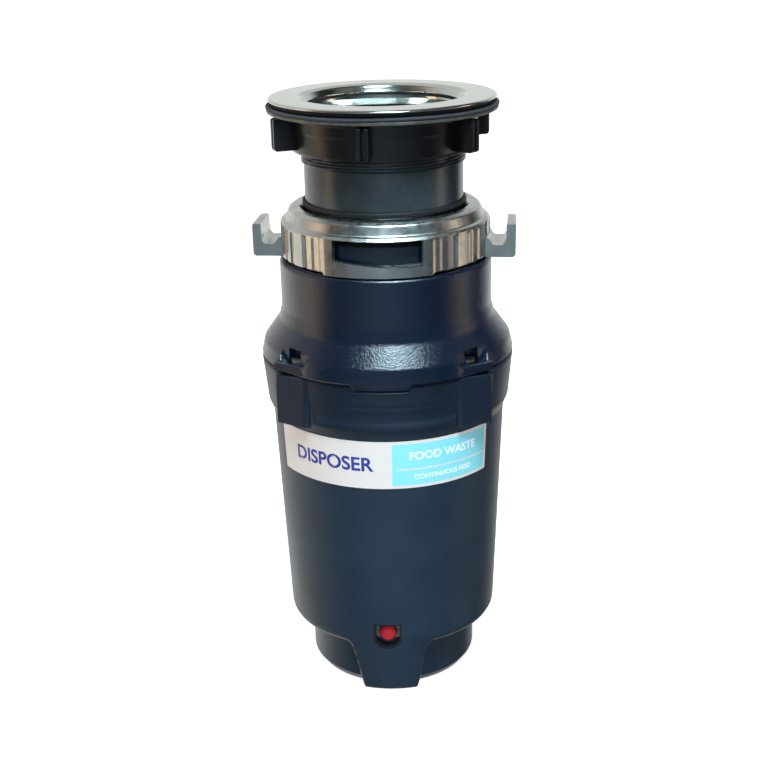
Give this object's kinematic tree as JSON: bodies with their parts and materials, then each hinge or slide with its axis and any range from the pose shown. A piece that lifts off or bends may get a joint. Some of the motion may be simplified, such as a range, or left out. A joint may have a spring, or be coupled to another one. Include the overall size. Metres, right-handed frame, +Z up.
{
  "type": "kitchen garbage disposal",
  "caption": "Continuous-feed food waste disposer with sink flange, clamp nut, quick-lock mount ring, hopper, grinding turntable, motor and side outlet.",
  "frame": {"origin": "centre of the base rim, where it stands on a surface", "axes": "+Z up along the machine's axis, towards the sink; -Y is the front with the label and the reset button; +Y is the side of the discharge outlet"},
  "size_m": [0.1354, 0.142, 0.312],
  "materials": {
    "stainless": "polished stainless rim",
    "rubber": "matt black rubber",
    "fibre": "pressed fibre gasket",
    "backing": "plated backing ring",
    "black_plastic": "moulded black plastic",
    "neck_plastic": "dark glossy plastic",
    "cast_zinc": "die-cast, lightly tumbled",
    "navy_gloss": "glossy moulded navy",
    "navy_satin": "fine satin moulded slate navy",
    "steel": "bright steel",
    "zinc_screw": "zinc-plated steel",
    "copper": "enamelled copper",
    "laminations": "stacked steel laminations",
    "magnet": "ferrite",
    "carbon": "carbon",
    "bronze": "sintered bronze",
    "grey_plastic": "moulded grey plastic",
    "red_plastic": "moulded red plastic",
    "lead": "insulated leads",
    "label": "printed film label",
    "bell_plastic": "glass-filled plastic"
  },
  "bodies": {
    "root": {"sink_flange": "stainless", "sink_gasket": "rubber", "flange_neck": "neck_plastic", "neck_seal": "rubber", "hopper": "navy_gloss", "snap_ring": "steel", "mount_cushion": "rubber", "dishwasher_inlet_plug": "navy_gloss", "grind_ring": "steel", "end_bell": "bell_plastic", "housing_seal": "rubber", "upper_bearing": "bronze", "shaft_seal": "rubber", "field_shell": "steel", "field_magnets": "magnet", "brush_plate": "grey_plastic", "lower_bearing": "bronze", "thrust_washer": "steel", "motor_through_bolts": "zinc_screw", "brush_holders": "bronze", "brush_springs": "steel", "lower_shell": "navy_satin", "housing_screws": "zinc_screw", "reset_bezel": "black_plastic", "overload_protector": "grey_plastic", "reset_spring": "steel", "bottom_plate": "zinc_screw", "wire_cover": "zinc_screw", "wire_cover_screw": "zinc_screw", "ground_screw": "zinc_screw", "bottom_screws": "zinc_screw", "rectifier": "black_plastic", "line_leads": "lead", "motor_leads": "lead", "front_label": "label"},
    "rotor": {"shaft": "steel", "armature_core": "laminations", "armature_windings": "copper", "commutator": "copper", "turntable": "steel", "impeller_rivets": "steel", "turntable_nut": "steel", "slinger": "grey_plastic"},
    "right_impeller": {"impeller_right": "steel"},
    "left_impeller": {"impeller_left": "steel"},
    "lock_ring": {"mount_ring": "cast_zinc"},
    "clamp_stack": {"backup_ring": "backing", "lower_gasket": "fibre"},
    "clamp_nut": {"mount_nut": "black_plastic"},
    "guard": {"splash_guard": "rubber"},
    "reset": {"reset_button": "red_plastic"},
    "right_brush": {"brush_right": "carbon"},
    "left_brush": {"brush_left": "carbon"}
  },
  "joints": [
    {"name": "rotor_spin", "type": "hinge", "parent": "root", "child": "rotor", "pos_m": [0, 0, 0.15], "axis": [0, 0, 1], "continuous": true},
    {"name": "right_impeller_swivel", "type": "hinge", "parent": "rotor", "child": "right_impeller", "pos_m": [0.027, 0, 0.191], "axis": [0, 0, 1], "continuous": true},
    {"name": "left_impeller_swivel", "type": "hinge", "parent": "rotor", "child": "left_impeller", "pos_m": [-0.027, 0, 0.191], "axis": [0, 0, 1], "continuous": true},
    {"name": "mount_ring_turn", "type": "hinge", "parent": "root", "child": "lock_ring", "pos_m": [0, 0, 0.244], "axis": [0, 0, 1], "range_deg": [0, 60]},
    {"name": "clamp_slide", "type": "slide", "parent": "root", "child": "clamp_stack", "axis": [0, 0, -1], "range_m": [0, 0.012]},
    {"name": "mount_nut_turn", "type": "hinge", "parent": "clamp_stack", "child": "clamp_nut", "pos_m": [0, 0, 0.295], "axis": [0, 0, -1], "range_deg": [0, 1445]},
    {"name": "splash_guard_lift", "type": "slide", "parent": "root", "child": "guard", "axis": [0, 0, 1], "range_m": [0, 0.06]},
    {"name": "reset_press", "type": "slide", "parent": "root", "child": "reset", "axis": [0, 1, 0], "range_m": [0, 0.0025], "stiffness_N_per_m": 300, "springref_m": -0.002, "deforming": ["reset_spring"]},
    {"name": "right_brush_slide", "type": "slide", "parent": "root", "child": "right_brush", "axis": [1, 0, 0], "range_m": [0, 0.003], "stiffness_N_per_m": 150, "springref_m": -0.004, "deforming": ["brush_springs"]},
    {"name": "left_brush_slide", "type": "slide", "parent": "root", "child": "left_brush", "axis": [-1, 0, 0], "range_m": [0, 0.003], "stiffness_N_per_m": 150, "springref_m": -0.004, "deforming": ["brush_springs"]}
  ],
  "couplings": [
    {"joint": "mount_nut_turn", "follows": "clamp_slide", "rad_per_m": 2094.4}
  ]
}
